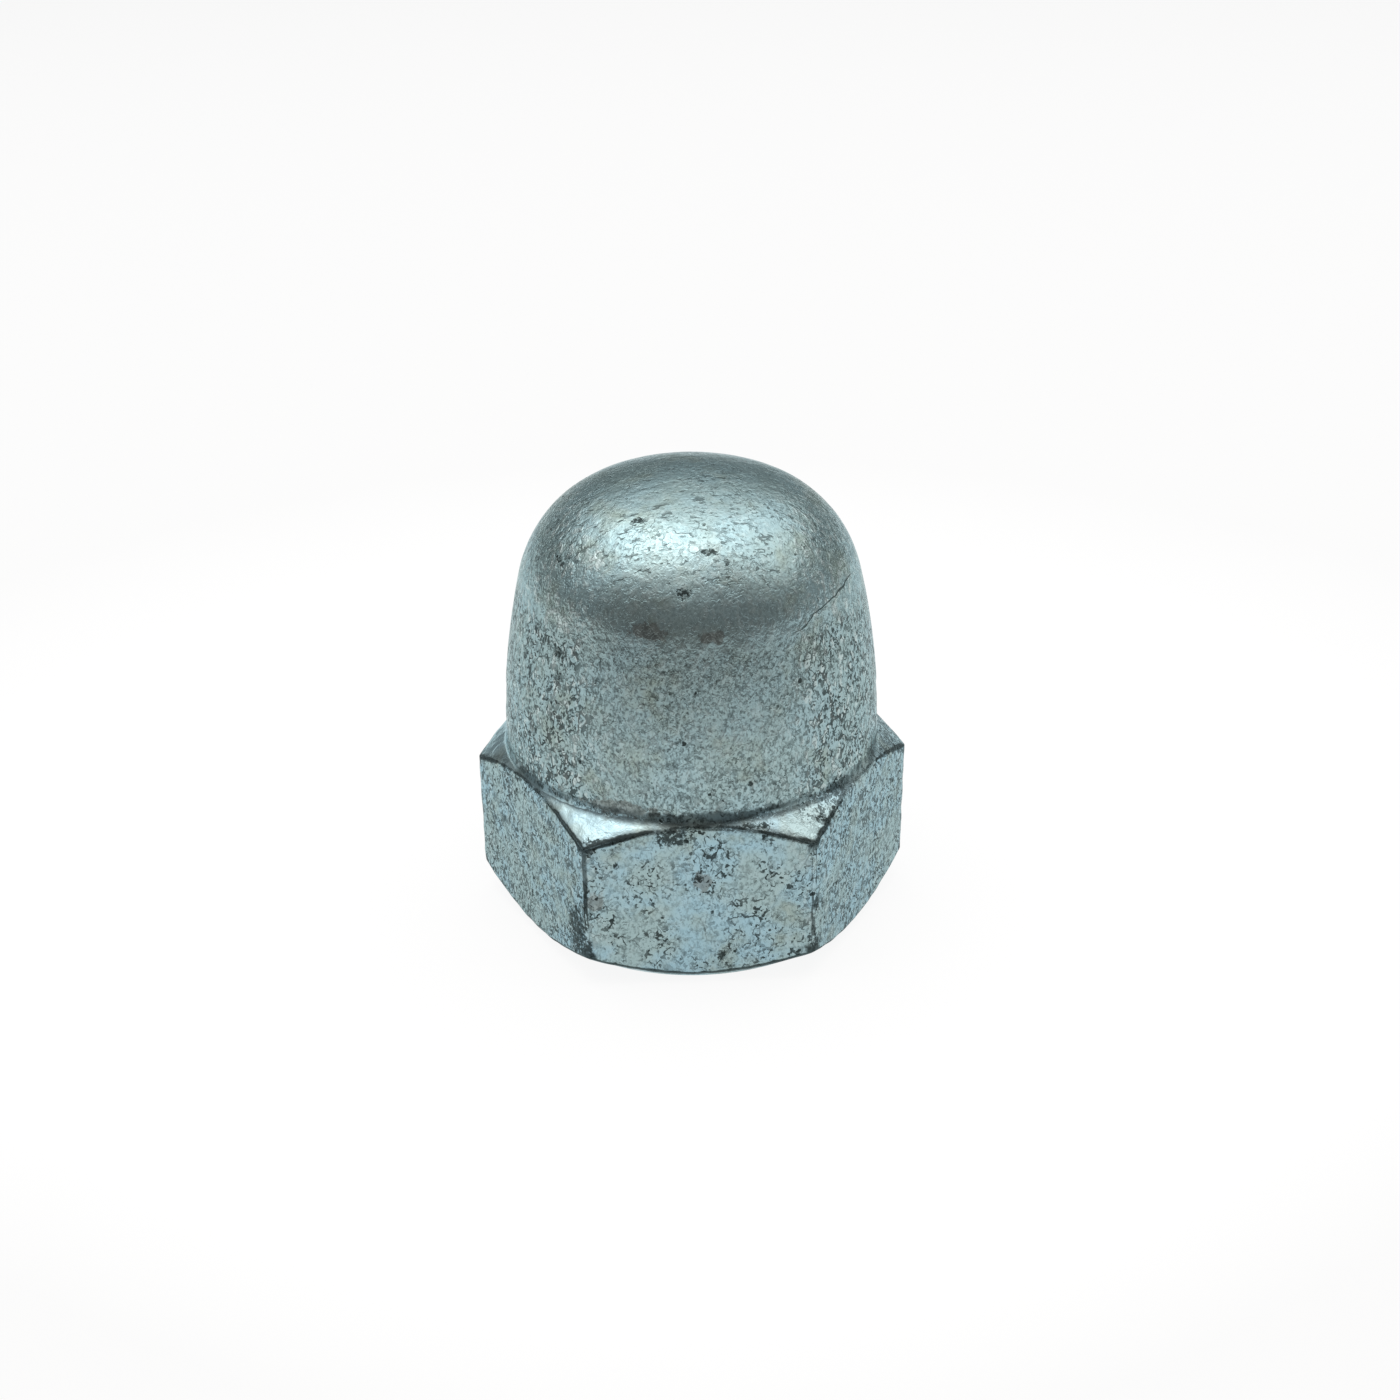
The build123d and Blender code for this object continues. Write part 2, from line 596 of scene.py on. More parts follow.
KEPT_DIRT = (
    ((-7.5, -11.2, 3.4), (0.95, 1.20, 2.30)),
    ((-6.9, -11.9, 2.4), (0.45, 0.60, 1.00)),
    ((7.0, -11.7, 5.4), (0.22, 0.40, 0.65)),
    ((7.0, -11.7, 2.4), (0.20, 0.40, 0.60)),
    ((-1.6, -12.0, 10.3), (1.30, 0.50, 0.60)),
    ((4.2, -11.8, 10.9), (2.40, 0.40, 0.16)),
    ((-6.2, -11.8, 10.1), (1.30, 0.50, 0.22)),
)
STAINS_AND_NECK_SHADE = (
    ((0.2, -12.0, 7.2), (0.60, 0.60, 0.80)),
    ((-6.3, -12.0, 6.0), (0.60, 0.60, 0.80)),
    ((-2.6, -10.0, 22.8), (1.30, 0.90, 0.50)),
    ((0.9, -10.4, 22.5), (0.70, 0.70, 0.40)),
    # Painted shade: a brown blot along the neck's hollow on the left
    ((-4.8, -10.8, 11.8), (3.20, 1.60, 0.60)),
)
# Lighter spots on the left of the crown: partly worn film, partly painted glints at the edge of the crown's
# highlight
RUBBED_AND_GLINTS = (
    ((-7.4, -7.3, 22.2), (1.0, 1.0, 0.6)),
    ((-5.6, -6.6, 25.8), (0.7, 0.8, 0.7)),
)

# Zones of the nut in millimetres, each from where it starts to where it is full
OUTSIDE_REACH = (9.0, 9.6)
FLANK_REACH = (4.0, 8.5)
CROWN_HEIGHTS = (20.8, 22.5)
CALM_HEIGHTS = (23.5, 26.5)
SCRATCHED_HEIGHTS = (23.5, 25.5)
HEXAGON_HEIGHTS = (12.2, 11.0)
SLOPE_HEIGHTS = (11.4, 11.0)
UPPER_EDGE_HEIGHTS = (9.0, 9.5)
LOWER_EDGE_HEIGHTS = (2.7, 2.2)
NECK_FOOT_HEIGHTS = (11.30, 11.50)
NECK_TOP_HEIGHTS = (12.15, 12.45)

SHAKE = 0.55  # millimetres by which a noise moves the marks, so that none runs straight
SHAKES_PER_MM = 1.6
FOLD_STRETCH = (1.0, 1.0, 0.60)
SHORT_STRETCH = (1.0, 1.0, 0.7)
GRAIN_STRETCH = (1.0, 1.0, 0.7)
WAVE_STRETCH = (1.0, 1.0, 0.45)
SCRATCH_STRETCH = (0.20, 1.0, 1.0)
SCRATCH_BIT_STRETCH = (0.45, 1.0, 1.0)

# The lap's line: a place on it, how fast it rises, how far it strays, and where it fades out
LAP_X = 5.9
LAP_HEIGHT = 22.1
LAP_RISE = 0.37
LAP_STRAY = 0.9
LAP_LINE = (0.04, 0.09)
LAP_START = (5.0, 6.5)
LAP_END = (-4.2, -3.4)

GRAZING_TINT = (0.80, 0.92, 0.94)  # the film colours grazing light as well
RELIEF_DEPTH = 0.045 * MM
MARK_DEPTH = 0.9  # as a share of the relief's depth
GRAIN_ROUGHNESS = (0.12, 0.22)
MARK_ROUGHNESS = 0.25
# How much of the film each of these hides where it is full
MARK_COVER = 0.92
DIRT_AND_SHADE_COVER = 0.86
STAIN_AND_SHADE_COVER = 0.58
# Over the upper corner cuts the lighter zinc is partly worn film and partly a painted highlight
SLOPE_RUBBING_AND_HIGHLIGHT = 0.30


def surface_zones(tree):
    """Where a point of the nut lies, in millimetres and as shares of its zones."""
    metres = add_node(tree, "ShaderNodeTexCoord").outputs["Object"]
    place = add_node(tree, "ShaderNodeVectorMath", {0: metres, 1: (1 / MM,) * 3}, operation="MULTIPLY")
    shake = add_node(tree, "ShaderNodeTexNoise", {"Vector": place, "Scale": SHAKES_PER_MM, "Detail": 2.0})
    shaken = add_node(
        tree,
        "ShaderNodeVectorMath",
        {0: shake.outputs["Color"], 1: (SHAKE,) * 3, 2: place},
        operation="MULTIPLY_ADD",
    )
    shaken = add_node(tree, "ShaderNodeVectorMath", {0: shaken, 1: (SHAKE / 2,) * 3}, operation="SUBTRACT")
    parts = add_node(tree, "ShaderNodeSeparateXYZ", {0: place}).outputs
    level = add_node(tree, "ShaderNodeVectorMath", {0: place, 1: (1, 1, 0)}, operation="MULTIPLY")
    from_axis = add_node(tree, "ShaderNodeVectorMath", {0: level}, operation="LENGTH").outputs["Value"]
    off_middle = add_node(tree, "ShaderNodeMath", {0: parts["X"]}, operation="ABSOLUTE")
    pressed = add_node(tree, "ShaderNodeAttribute", attribute_name="pressed").outputs["Fac"]
    turned = faded(tree, 1.0, pressed, 0.2, 0.8, 1.0, 0.0)
    slope = faded(tree, turned, parts["Z"], *SLOPE_HEIGHTS)
    # The corner cuts are cleaner than the rest, most of all on the left
    slope_skin = faded(tree, 1.0, parts["X"], -3.0, 4.0, 0.08, 0.75)
    flanks = faded(tree, 1.0, off_middle, *FLANK_REACH)
    return SimpleNamespace(
        place=place,
        shaken=shaken,
        x=parts["X"],
        y=parts["Y"],
        height=parts["Z"],
        outside=faded(tree, 1.0, from_axis, *OUTSIDE_REACH),
        flanks=faded(tree, flanks, slope, 0.0, 1.0, 1.0, slope_skin),
        crown=faded(tree, 1.0, parts["Z"], *CROWN_HEIGHTS),
        hexagon=faded(tree, 1.0, parts["Z"], *HEXAGON_HEIGHTS),
        slope=slope,
        slope_skin=slope_skin,
        edge=add_node(tree, "ShaderNodeAttribute", attribute_name="edge").outputs["Fac"],
        corner=add_node(tree, "ShaderNodeAttribute", attribute_name="corner").outputs["Fac"],
    )


def skin_share(tree, zone):
    """How coarse the forged skin is: most up the sides, less in front, least on the crown."""
    front = faded(tree, 1.0, zone.hexagon, 0.0, 1.0, 0.55, 0.95)
    calm = faded(tree, zone.crown, zone.height, *CALM_HEIGHTS, 0.70, 0.30)
    lively = add_node(tree, "ShaderNodeMath", {0: 1.0, 1: calm}, operation="SUBTRACT")
    skin = all_of(tree, any_of(tree, front, zone.flanks), lively)
    return faded(tree, skin, zone.slope, 0.0, 1.0, 1.0, zone.slope_skin)


def forging_marks(tree, zone, folds, marked, crack_spacing):
    """Short curved cracks of the skin, and folds up the sides, where the forging slid in its die."""
    crack_lines = level_lines(tree, zone.shaken, spacing=crack_spacing, width=0.056)
    crack_bits = mottle(tree, zone.place, spacing=0.27, detail=1.0)
    cracks = faded(tree, all_of(tree, crack_lines, marked), crack_bits, 0.50, 0.55)
    short_lines = level_lines(tree, zone.shaken, spacing=0.34, width=0.055, stretch=SHORT_STRETCH)
    short_lines = faded(tree, short_lines, mottle(tree, zone.place, spacing=0.45, detail=1.0), 0.48, 0.54)
    long_lines = level_lines(tree, zone.shaken, spacing=0.46, width=0.058, stretch=FOLD_STRETCH)
    long_bits = mottle(tree, zone.shaken, spacing=0.42, detail=1.0, stretch=FOLD_STRETCH)
    long_lines = faded(tree, long_lines, long_bits, 0.47, 0.53)
    hollows = faded(tree, 1.0, folds, 0.335, 0.37, 1.0, 0.0)
    fold_lines = any_of(tree, long_lines, hollows, short_lines)
    fold_share = faded(tree, 1.0, zone.flanks, 0.0, 1.0, 0.30, 0.90)
    fold_share = faded(tree, fold_share, zone.crown, 0.0, 1.0, 1.0, 0.35)
    # The front flat was pressed smooth
    smooth = faded(tree, zone.hexagon, zone.flanks, 0.0, 1.0, 1.0, 0.06)
    uneven = add_node(tree, "ShaderNodeMath", {0: 1.0, 1: smooth}, operation="SUBTRACT")
    fold_marks = all_of(tree, fold_lines, fold_share, uneven)
    fold_marks = faded(tree, fold_marks, mottle(tree, zone.place, spacing=1.7), 0.36, 0.52, 0.55, 1.0)
    return any_of(tree, cracks, all_of(tree, short_lines, marked, 0.55), fold_marks)


def crown_scratches(tree, zone):
    """Scratches of the tumbling drum, which run across the crown."""
    lines = level_lines(tree, zone.shaken, spacing=0.36, width=0.045, stretch=SCRATCH_STRETCH)
    bits = mottle(tree, zone.shaken, spacing=0.40, detail=1.0, stretch=SCRATCH_BIT_STRETCH)
    scratches = faded(tree, lines, bits, 0.52, 0.64, 0.0, 0.65)
    return faded(tree, scratches, zone.height, *SCRATCHED_HEIGHTS)


def small_pits(tree, zone, marked, pit_spacing):
    """Small pits, each of its own size. Half of them are closed."""
    cells = add_node(
        tree,
        "ShaderNodeTexVoronoi",
        {"Vector": zone.shaken, "Scale": 1 / pit_spacing},
        feature="F1",
    )
    choice = add_node(tree, "ShaderNodeSeparateColor", {0: cells.outputs["Color"]})
    size = faded(tree, 1.0, choice, 0.50, 1.0, 0.0, 0.23)
    inside = add_node(tree, "ShaderNodeMath", {0: size, 1: cells.outputs["Distance"]}, operation="SUBTRACT")
    pits = faded(tree, 1.0, inside, 0.0, 0.06)
    return faded(tree, pits, marked, 0.1, 0.6, 0.25, 1.0)


def shoulder_lap(tree, zone):
    """A lap of the forging: one thin line that rises round the right shoulder."""
    along = add_node(tree, "ShaderNodeMath", {0: zone.x, 1: LAP_X}, operation="SUBTRACT")
    line = add_node(tree, "ShaderNodeMath", {0: along, 1: LAP_RISE, 2: LAP_HEIGHT}, operation="MULTIPLY_ADD")
    wander = mottle(tree, zone.place, spacing=1.4)
    stray = add_node(tree, "ShaderNodeMath", {0: wander, 1: 0.5}, operation="SUBTRACT")
    line = add_node(tree, "ShaderNodeMath", {0: stray, 1: LAP_STRAY, 2: line}, operation="MULTIPLY_ADD")
    off_line = add_node(tree, "ShaderNodeMath", {0: zone.height, 1: line}, operation="SUBTRACT")
    off_line = add_node(tree, "ShaderNodeMath", {0: off_line}, operation="ABSOLUTE")
    lap = faded(tree, 1.0, off_line, *LAP_LINE, 1.0, 0.0)
    lap = faded(tree, lap, zone.x, *LAP_START)
    return faded(tree, lap, zone.y, *LAP_END, 0.9, 0.0)


def dirt_and_shade_share(tree, zone, ragged):
    """Dirt and oil up the corners and where it was kept, and painted shade along the edges of the flats and
    in the neck's hollow.
    """
    broken = mottle(tree, zone.shaken, spacing=0.7, detail=3.0, rough=0.6)
    waning = mottle(tree, zone.place, spacing=2.2, detail=1.0)
    # Along the edges of the flats, more at the foot than at the top: painted shade, a painted contact shadow
    # along the lower edges and a painted dark reflection along the upper ones
    width = faded(tree, 1.0, zone.height, 9.9, 10.9, 0.06, -0.12)
    width = add_node(tree, "ShaderNodeMath", {0: waning, 1: 0.35, 2: width}, operation="MULTIPLY_ADD")
    near_edge = add_node(tree, "ShaderNodeMath", {0: broken, 1: 0.5, 2: zone.edge}, operation="MULTIPLY_ADD")
    near_edge = add_node(tree, "ShaderNodeMath", {0: near_edge, 1: width}, operation="ADD")
    upper = faded(tree, 1.0, zone.height, *UPPER_EDGE_HEIGHTS)
    lower = faded(tree, 1.0, zone.height, *LOWER_EDGE_HEIGHTS)
    painted_edge_shade = faded(tree, any_of(tree, upper, lower), near_edge, 1.16, 1.30)
    # Up the corners: ragged dirt, and a fine line that comes and goes
    patchy = add_node(
        tree,
        "ShaderNodeMath",
        {0: broken, 1: 0.9, 2: all_of(tree, waning, 0.6)},
        operation="MULTIPLY_ADD",
    )
    patchy = add_node(tree, "ShaderNodeMath", {0: zone.corner, 1: 1.6, 2: patchy}, operation="MULTIPLY_ADD")
    corner_dirt = faded(tree, 1.0, patchy, 2.36, 2.50)
    near_corner = add_node(
        tree,
        "ShaderNodeMath",
        {0: broken, 1: 0.3, 2: zone.corner},
        operation="MULTIPLY_ADD",
    )
    corner_line = faded(tree, 1.0, near_corner, 0.94, 1.05)
    corner_line = faded(tree, corner_line, waning, 0.36, 0.54, 0.75, 1.0)
    # Painted shade in the neck's hollow
    neck_top = add_node(tree, "ShaderNodeMath", {0: broken, 1: 1.1, 2: zone.height}, operation="MULTIPLY_ADD")
    neck_foot = add_node(
        tree,
        "ShaderNodeMath",
        {0: zone.edge, 1: 0.45, 2: zone.height},
        operation="MULTIPLY_ADD",
    )
    painted_neck_shade = faded(tree, zone.outside, neck_foot, *NECK_FOOT_HEIGHTS)
    painted_neck_shade = faded(tree, painted_neck_shade, neck_top, *NECK_TOP_HEIGHTS, 1.0, 0.0)
    painted_neck_shade = faded(tree, painted_neck_shade, waning, 0.36, 0.58, 0.50, 0.92)
    specks = mottle(tree, zone.place, spacing=0.26, detail=3.0, rough=0.65)
    kept = faded(tree, blots(tree, zone.shaken, ragged, KEPT_DIRT, raggedness=2.0), specks, 0.37, 0.47)
    return any_of(tree, painted_edge_shade, corner_dirt, corner_line, painted_neck_shade, kept)


def film_layers(tree, zone, finish, folds, grain, ragged):
    """The passivation's film and its wear from the bottom up, as (share, colour). It is bluer on
    the hexagon, olive where it has yellowed, stained, and worn off by rubbing on the highest places.
    The stains include painted shade along the neck's hollow on the left, and the lighter worn zinc
    is also a painted highlight over the upper corner cuts and painted glints at the left of the crown."""
    blue = faded(tree, 1.0, mottle(tree, zone.place, spacing=3.4, detail=3.0, rough=0.55), 0.38, 0.60)
    blue = faded(tree, blue, zone.hexagon, 0.0, 1.0, 0.30, 1.0)
    yellowed = mottle(tree, zone.shaken, spacing=3.1, detail=3.0, rough=0.6)
    olive = faded(tree, 1.0, yellowed, 0.50, 0.72, 0.0, 0.6)
    blotted = mottle(tree, zone.place, spacing=0.7, detail=4.0, rough=0.7)
    stained_and_shaded = blots(tree, zone.place, blotted, STAINS_AND_NECK_SHADE, raggedness=2.4)
    dull = faded(tree, 1.0, grain, 0.32, 0.55, 0.62, 0.0)
    dull = faded(tree, dull, zone.hexagon, 0.0, 1.0, 0.95, 0.60)
    dull = faded(tree, dull, zone.flanks, 0.0, 1.0, 1.0, 0.35)
    dull = faded(tree, dull, zone.slope, 0.0, 1.0, 1.0, 0.2)
    dull = faded(tree, dull, zone.crown, 0.0, 1.0, 1.0, 0.25)
    spots = blots(tree, zone.place, ragged, RUBBED_AND_GLINTS, raggedness=1.6)
    spots = faded(tree, spots, mottle(tree, zone.place, spacing=0.3), 0.42, 0.58, 0.15, 1.0)
    crests = faded(tree, 1.0, folds, 0.51, 0.63, 0.0, 0.8)
    crests = faded(tree, crests, zone.hexagon, 0.0, 1.0, 1.0, 0.5)
    crests = faded(tree, crests, zone.flanks, 0.0, 1.0, 0.25, 1.0)
    # Worn film, with a painted highlight over the upper corner cuts and painted glints at the left of the
    # crown
    rubbed_and_highlit = any_of(tree, spots, all_of(tree, zone.slope, SLOPE_RUBBING_AND_HIGHLIGHT), crests)
    return [
        (blue, finish.blue),
        (olive, finish.olive),
        # Stains, and painted shade along the neck's hollow on the left
        (all_of(tree, stained_and_shaded, STAIN_AND_SHADE_COVER), finish.brown_stain_and_shade),
        (dull, finish.grime_and_shade),
        (rubbed_and_highlit, finish.bare_and_highlight),
    ]


def surface_relief(tree, zone, skin, marks, grain, folds):
    """The height of the small relief: grain, ripples, folds and waves, with the marks sunk in."""
    layers = (
        (grain, faded(tree, 1.0, skin, 0.2, 1.0, 0.08, 0.26)),
        (mottle(tree, zone.place, spacing=0.85), 0.8),
        (folds, faded(tree, 1.0, zone.flanks, 0.0, 1.0, 0.7, 2.8)),
        (
            mottle(tree, zone.shaken, spacing=1.0, detail=1.0, stretch=WAVE_STRETCH),
            faded(tree, 1.0, zone.flanks, 0.0, 1.0, 0.5, 1.6),
        ),
    )
    relief = all_of(tree, marks, -MARK_DEPTH)
    for pattern, amount in layers:
        inputs = {0: pattern, 1: amount, 2: relief}
        relief = add_node(tree, "ShaderNodeMath", inputs, operation="MULTIPLY_ADD")
    return relief


def zinc_plated_steel(finish):
    """Zinc plated steel: forged, so a coarse skin shows through the plating, tumbled, so it is
    scratched and dented, and blue passivated. It gives a dull sheen, fine dark marks and a
    blue, green and olive film."""
    material = bpy.data.materials.new("zinc_plated_steel_forged_and_passivated")
    material.use_nodes = True
    tree = material.node_tree
    tree.nodes.clear()
    zone = surface_zones(tree)
    skin = skin_share(tree, zone)
    marked = faded(tree, skin, mottle(tree, zone.place, spacing=2.3), 0.38, 0.58, 0.25, 1.0)
    folds = mottle(tree, zone.shaken, spacing=0.42, detail=2.0, rough=0.6, stretch=FOLD_STRETCH)
    ragged = mottle(tree, zone.place, spacing=0.22, detail=3.0, rough=0.7)
    # The plating's grain is far finer, and is drawn this coarse so that it shows
    grain = mottle(tree, zone.place, spacing=0.17, detail=2.0, rough=0.6, stretch=GRAIN_STRETCH)
    knocks = blots(tree, zone.shaken, ragged, KNOCKS, raggedness=1.6)
    marks = any_of(
        tree,
        forging_marks(tree, zone, folds, marked, finish.crack_spacing / MM),
        crown_scratches(tree, zone),
        small_pits(tree, zone, marked, finish.pit_spacing / MM),
        faded(tree, knocks, mottle(tree, zone.place, spacing=0.16), 0.38, 0.56, 0.35, 1.0),
        shoulder_lap(tree, zone),
    )
    dirt_and_shade = dirt_and_shade_share(tree, zone, ragged)
    layers = film_layers(tree, zone, finish, folds, grain, ragged)
    layers.append((all_of(tree, marks, MARK_COVER), finish.grime_and_shade))
    # Dirt, and painted shade along the edges of the flats and in the neck's hollow
    layers.append((all_of(tree, dirt_and_shade, DIRT_AND_SHADE_COVER), finish.grime_and_shade))
    surface = (*finish.zinc, 1)
    for share, layer in layers:
        inputs = {0: share, 6: surface, 7: (*layer, 1)}
        surface = add_node(tree, "ShaderNodeMix", inputs, data_type="RGBA").outputs[2]
    clean_roughness = faded(tree, 1.0, grain, 0.3, 0.7, *GRAIN_ROUGHNESS)
    roughness = add_node(
        tree,
        "ShaderNodeMath",
        {0: any_of(tree, marks, dirt_and_shade), 1: MARK_ROUGHNESS, 2: clean_roughness},
        operation="MULTIPLY_ADD",
    )
    relief = surface_relief(tree, zone, skin, marks, grain, folds)
    bump = add_node(tree, "ShaderNodeBump", {"Height": relief, "Strength": 1.0, "Distance": RELIEF_DEPTH})
    shader = add_node(
        tree,
        "ShaderNodeBsdfPrincipled",
        {
            "Base Color": surface,
            "Metallic": 1.0,
            "Roughness": roughness,
            "Specular Tint": (*GRAZING_TINT, 1),
            "Normal": bump,
        },
    )
    add_node(tree, "ShaderNodeOutputMaterial", {"Surface": shader})
    return material


def bare_rays(tree):
    """1 for rays that see the background plainly: from the camera, a mirror or glass."""
    path = add_node(tree, "ShaderNodeLightPath").outputs
    return any_of(tree, path["Is Camera Ray"], path["Is Glossy Ray"], path["Is Transmission Ray"])


# How the floor is mirrored by the nut: distances in metres and light
NEAR_FLOOR = (0.04, 0.12)
NEAR_FLOOR_LIGHT = (1.05, 0.95)
DARKER_FLOOR = (0.035, 0.09)
FRONT_LOSS = 0.32
FLOOR_PLAIN = 0.65  # share of the floor that is shown plainly white
FLOOR_PLAINER = 0.2  # what the camera's own rays add to it


def floor_material(studio):
    """Matt white board. Most of it is shown plainly white, and the rest keeps the shadow.
    Towards the front, away from the light, what the nut mirrors of it is greyer."""
    material = bpy.data.materials.new("matt_white_board")
    material.use_nodes = True
    tree = material.node_tree
    tree.nodes.clear()
    coordinates = add_node(tree, "ShaderNodeTexCoord").outputs["Object"]
    away = add_node(tree, "ShaderNodeVectorMath", {0: coordinates}, operation="LENGTH").outputs["Value"]
    way = add_node(tree, "ShaderNodeVectorMath", {0: coordinates}, operation="NORMALIZE")
    to_back = add_node(tree, "ShaderNodeSeparateXYZ", {0: way}).outputs["Y"]
    in_front = faded(tree, 1.0, all_of(tree, to_back, -1.0), 0.3, 0.9)
    loss = faded(tree, in_front, away, *DARKER_FLOOR, 0.0, FRONT_LOSS)
    light = faded(tree, 1.0, away, *NEAR_FLOOR, *NEAR_FLOOR_LIGHT)
    mirrored = add_node(tree, "ShaderNodeMath", {0: light, 1: loss}, operation="SUBTRACT")
    seen = add_node(tree, "ShaderNodeLightPath").outputs["Is Camera Ray"]
    lit = add_node(tree, "ShaderNodeBsdfDiffuse", {"Color": (*studio.floor, 1)})
    level = any_of(tree, mirrored, seen)
    plain = add_node(tree, "ShaderNodeEmission", {"Color": (1, 1, 1, 1), "Strength": level})
    share = add_node(
        tree,
        "ShaderNodeMath",
        {0: seen, 1: FLOOR_PLAINER, 2: FLOOR_PLAIN},
        operation="MULTIPLY_ADD",
    )
    share = all_of(tree, bare_rays(tree), share)
    top = add_node(tree, "ShaderNodeMixShader", {0: share, 1: lit, 2: plain})
    clear = add_node(tree, "ShaderNodeBsdfTransparent")
    behind = add_node(tree, "ShaderNodeNewGeometry").outputs["Backfacing"]
    both = add_node(tree, "ShaderNodeMixShader", {0: behind, 1: top, 2: clear})
    add_node(tree, "ShaderNodeOutputMaterial", {"Surface": both})
    return material


# The cloth's light by the sine of its elevation, from the floor to the top
SIDE_CLOTH = ((0.0, 0.38), (0.15, 0.34), (0.40, 0.35), (0.58, 0.82), (0.75, 1.30), (1.0, 2.4))
FRONT_CLOTH = (
    (0.0, 0.33),
    (0.03, 0.33),
    (0.07, 0.22),
    (0.30, 0.21),
    (0.56, 0.29),
    (0.72, 0.52),
    (0.85, 0.85),
    (0.94, 1.40),
    (1.0, 2.4),
)
SIDE_CLOTH_TINT = (1.0, 1.0, 1.0)
FRONT_CLOTH_TINT = (1.06, 1.0, 0.97)
BRIGHTEST_CLOTH = 3.0

# Where the cloth changes, by the compass and by the sine of the elevation
FRONT_FROM = (0.10, 0.80)
SEAM_AT = 0.72
SEAM_WIDTH = (0.02, 0.08)
SEAM_TOP = (0.35, 0.5)
SEAM_DARKNESS = 0.55
LEAN_HEIGHTS = (0.74, 0.86)
LEAN_TO_RIGHT = (0.09, -0.16)
BACK_FROM = (0.80, 0.97)
BACK_LIGHT = 0.80
CLOTH_LEVEL = 1.03


def fill_ramp(ramp, stops, tint):
    """Sets a colour ramp from places and lights, the lights as shares of the brightest cloth."""
    while len(ramp.elements) < len(stops):
        ramp.elements.new(1.0)
    for element, (place, light) in zip(ramp.elements, stops):
        element.position = place
        element.color = (*(light * part / BRIGHTEST_CLOTH for part in tint), 1)


def tent_material(studio):
    """White cloth of a light tent, lit from above and darker low down, most of all in front.
    Its two seams at the back are darker, and its foot is pale."""
    material = bpy.data.materials.new("tent_cloth")
    material.use_nodes = True
    tree = material.node_tree
    tree.nodes.clear()
    coordinates = add_node(tree, "ShaderNodeTexCoord").outputs["Object"]
    way = add_node(tree, "ShaderNodeVectorMath", {0: coordinates}, operation="NORMALIZE")
    height = add_node(tree, "ShaderNodeSeparateXYZ", {0: way}).outputs["Z"]
    level = add_node(tree, "ShaderNodeVectorMath", {0: coordinates, 1: (1, 1, 0)}, operation="MULTIPLY")
    level = add_node(tree, "ShaderNodeVectorMath", {0: level}, operation="NORMALIZE")
    compass = add_node(tree, "ShaderNodeSeparateXYZ", {0: level}).outputs
    side_light = add_node(tree, "ShaderNodeValToRGB", {"Fac": height})
    front_light = add_node(tree, "ShaderNodeValToRGB", {"Fac": height})
    fill_ramp(side_light.color_ramp, SIDE_CLOTH, SIDE_CLOTH_TINT)
    fill_ramp(front_light.color_ramp, FRONT_CLOTH, FRONT_CLOTH_TINT)
    front = faded(tree, 1.0, all_of(tree, compass["Y"], -1.0), *FRONT_FROM)
    light = add_node(
        tree,
        "ShaderNodeMix",
        {0: front, 6: side_light, 7: front_light},
        data_type="RGBA",
    ).outputs[2]
    off_seam = add_node(tree, "ShaderNodeMath", {0: compass["Y"], 1: SEAM_AT}, operation="SUBTRACT")
    off_seam = add_node(tree, "ShaderNodeMath", {0: off_seam}, operation="ABSOLUTE")
    seam = faded(tree, 1.0, off_seam, *SEAM_WIDTH, 1.0, 0.0)
    seam = faded(tree, seam, height, *SEAM_TOP, SEAM_DARKNESS, 0.0)
    between_seams = add_node(tree, "ShaderNodeMath", {0: 1.0, 1: seam}, operation="SUBTRACT")
    lean = faded(tree, compass["X"], height, *LEAN_HEIGHTS, *LEAN_TO_RIGHT)
    strength = add_node(tree, "ShaderNodeMath", {0: CLOTH_LEVEL, 1: lean}, operation="ADD")
    strength = all_of(tree, strength, between_seams, BRIGHTEST_CLOTH)
    strength = faded(tree, strength, compass["Y"], *BACK_FROM, 1.0, BACK_LIGHT)
    glow = add_node(tree, "ShaderNodeEmission", {"Color": light, "Strength": strength})
    add_node(tree, "ShaderNodeOutputMaterial", {"Surface": glow})
    # Rays that the nut mirrors find the cloth by themselves, with less noise
    material.cycles.emission_sampling = "NONE"
    return material


class CAPNUT_OT_nut(bpy.types.Operator):
    """Makes the nut: dome, neck and hexagon in one forged piece, with its tapped hole"""

    bl_idname = "capnut.nut"
    bl_label = "Cap nut"
    bl_options = {"REGISTER", "UNDO"}

    def execute(self, context):
        sizes = context.scene.cap_nut
        hole = context.scene.cap_nut_hole
        body = turned_body(half_section(sizes), TURN_STEPS)
        bmesh.ops.recalc_face_normals(body, faces=body.faces)
        forge_hexagon(body, sizes)
        dent(body)
        inside = tapped_hole(hole, CAD_HIGH.z - CAD_LOW.z, THREAD_STEPS)
        hole_mesh = bpy.data.meshes.new("hole")
        inside.to_mesh(hole_mesh)
        inside.free()
        body.from_mesh(hole_mesh)
        bpy.data.meshes.remove(hole_mesh)
        rings = boundary_ring(body, True) + boundary_ring(body, False)
        bmesh.ops.bridge_loops(body, edges=rings)
        bmesh.ops.recalc_face_normals(body, faces=body.faces)
        crisp(body)
        nut = as_piece(body, "cap_nut_forged", zinc_plated_steel(context.scene.cap_nut_finish))
        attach(nut, "root")
        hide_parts(NUT_NODE)
        return {"FINISHED"}


FLOOR_DROP = 0.02 * MM  # keeps the floor and the bearing face from sharing a plane
ROOM_LIGHT = 0.8  # of plain white, for rays that don't see the background plainly
CLOSEST_SEEN = 1 * MM
FARTHEST_SEEN = 10  # metres


